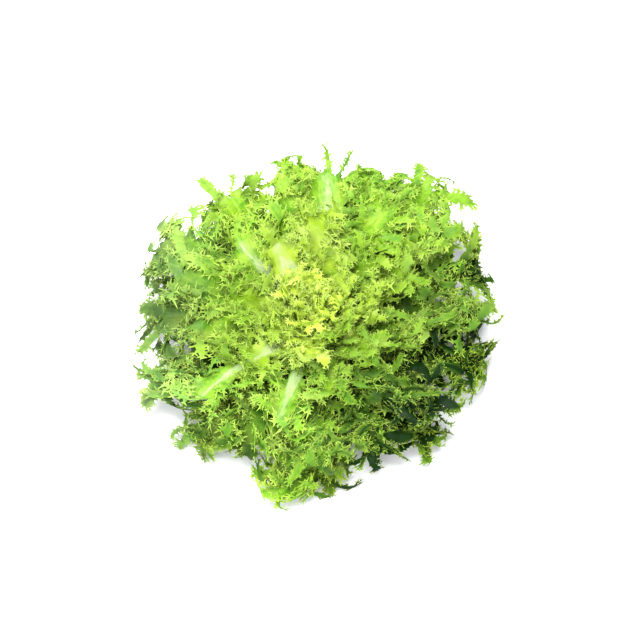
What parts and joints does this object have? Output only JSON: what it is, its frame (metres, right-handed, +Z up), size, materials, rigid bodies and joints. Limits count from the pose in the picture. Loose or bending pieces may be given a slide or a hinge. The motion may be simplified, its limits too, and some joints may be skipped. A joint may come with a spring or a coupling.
{
  "type": "curly endive head",
  "caption": "Low domed head of frilly, deeply cut salad leaves in a spiral round a cut crown, yellow at the heart and dark green outside, resting on its cut face.",
  "frame": {"origin": "centre of the crown's cut face, on the table", "axes": "+Z up, out of the cut face and through the head; -Y towards the side that the leaves lean to, which is the picture's near side"},
  "size_m": [0.2981, 0.2845, 0.1371],
  "materials": {
    "crown": "moist cream plant tissue, browned at the cut",
    "heart_leaf": "thin fresh leaf, yellow, satin",
    "inner_leaf": "thin fresh leaf, yellow-green, satin",
    "middle_leaf": "thin fresh leaf, bright green, satin",
    "outer_leaf": "thin fresh leaf, dark green, satin"
  },
  "bodies": {
    "root": {"crown": "crown", "heart_leaf_01": "heart_leaf", "heart_leaf_02": "heart_leaf", "heart_leaf_03": "heart_leaf", "heart_leaf_04": "heart_leaf", "heart_leaf_05": "heart_leaf", "heart_leaf_06": "heart_leaf", "heart_leaf_07": "heart_leaf", "heart_leaf_08": "heart_leaf", "inner_leaf_01": "inner_leaf", "inner_leaf_02": "inner_leaf", "inner_leaf_03": "inner_leaf", "inner_leaf_04": "inner_leaf", "inner_leaf_05": "inner_leaf", "inner_leaf_06": "inner_leaf", "inner_leaf_07": "inner_leaf", "inner_leaf_08": "inner_leaf", "inner_leaf_09": "inner_leaf", "inner_leaf_10": "inner_leaf", "inner_leaf_11": "inner_leaf", "inner_leaf_12": "inner_leaf", "inner_leaf_13": "inner_leaf", "inner_leaf_14": "inner_leaf", "middle_leaf_01": "middle_leaf", "middle_leaf_02": "middle_leaf", "middle_leaf_03": "middle_leaf", "middle_leaf_04": "middle_leaf", "middle_leaf_05": "middle_leaf", "middle_leaf_06": "middle_leaf", "middle_leaf_07": "middle_leaf", "middle_leaf_08": "middle_leaf", "middle_leaf_09": "middle_leaf", "middle_leaf_10": "middle_leaf", "middle_leaf_11": "middle_leaf", "middle_leaf_12": "middle_leaf", "middle_leaf_13": "middle_leaf", "middle_leaf_14": "middle_leaf", "middle_leaf_15": "middle_leaf", "middle_leaf_16": "middle_leaf", "middle_leaf_17": "middle_leaf", "middle_leaf_18": "middle_leaf", "outer_leaf_01": "outer_leaf", "outer_leaf_02": "outer_leaf", "outer_leaf_03": "outer_leaf", "outer_leaf_04": "outer_leaf", "outer_leaf_05": "outer_leaf", "outer_leaf_06": "outer_leaf", "outer_leaf_07": "outer_leaf", "outer_leaf_08": "outer_leaf", "outer_leaf_09": "outer_leaf", "outer_leaf_10": "outer_leaf", "outer_leaf_11": "outer_leaf", "outer_leaf_12": "outer_leaf", "outer_leaf_13": "outer_leaf", "outer_leaf_14": "outer_leaf", "outer_leaf_15": "outer_leaf", "outer_leaf_16": "outer_leaf", "outer_leaf_17": "outer_leaf", "outer_leaf_18": "outer_leaf"}
  },
  "joints": []
}
